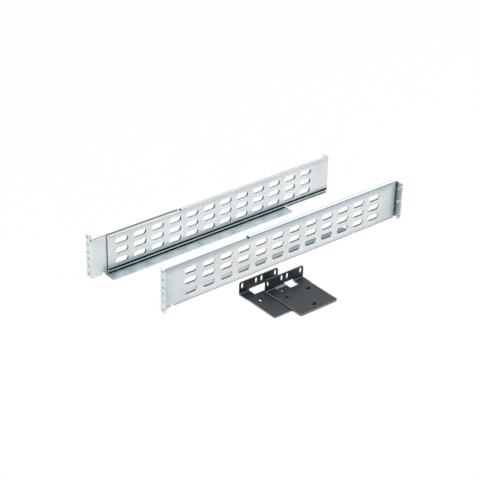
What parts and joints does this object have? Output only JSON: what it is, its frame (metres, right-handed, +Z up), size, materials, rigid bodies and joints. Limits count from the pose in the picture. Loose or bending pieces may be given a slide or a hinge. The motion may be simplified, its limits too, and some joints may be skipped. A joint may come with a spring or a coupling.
{
  "type": "sliding server rail pair",
  "caption": "Telescoping sheet-metal rack rails with slotted webs, shelf ledges and flanges with pressed-in nuts, lying with loose black rack ears, for carrying equipment in a rack.",
  "frame": {"origin": "middle of the footprint, on the surface that the rails and ears stand on", "axes": "+X from the front flanges to the rear flanges along the rails, +Y towards the left rail, +Z up"},
  "size_m": [0.6036, 0.3398, 0.0881],
  "materials": {
    "zinc_steel": "bright zinc plated sheet steel, satin",
    "nut_steel": "zinc plated hardened steel, turned",
    "black_powder_coat": "black powder coat, fine satin texture"
  },
  "bodies": {
    "rail_fronts": {"left_front_section": "zinc_steel", "right_front_section": "zinc_steel", "lower_rack_ear": "black_powder_coat", "upper_rack_ear": "black_powder_coat", "left_front_nut_1": "nut_steel", "left_front_nut_2": "nut_steel", "left_front_nut_3": "nut_steel", "left_front_nut_4": "nut_steel", "left_front_nut_5": "nut_steel", "left_front_nut_6": "nut_steel", "right_front_nut_1": "nut_steel", "right_front_nut_2": "nut_steel", "right_front_nut_3": "nut_steel", "right_front_nut_4": "nut_steel", "right_front_nut_5": "nut_steel", "right_front_nut_6": "nut_steel"},
    "left_slide": {"left_rear_section": "zinc_steel", "left_rear_nut_1": "nut_steel", "left_rear_nut_2": "nut_steel", "left_rear_nut_3": "nut_steel"},
    "right_slide": {"right_rear_section": "zinc_steel", "right_rear_nut_1": "nut_steel", "right_rear_nut_2": "nut_steel", "right_rear_nut_3": "nut_steel"}
  },
  "joints": [
    {"name": "left_rail_slide", "type": "slide", "parent": "rail_fronts", "child": "left_slide", "axis": [1, 0, 0], "range_m": [0, 0.32]},
    {"name": "right_rail_slide", "type": "slide", "parent": "rail_fronts", "child": "right_slide", "axis": [1, 0, 0], "range_m": [0, 0.32]}
  ]
}
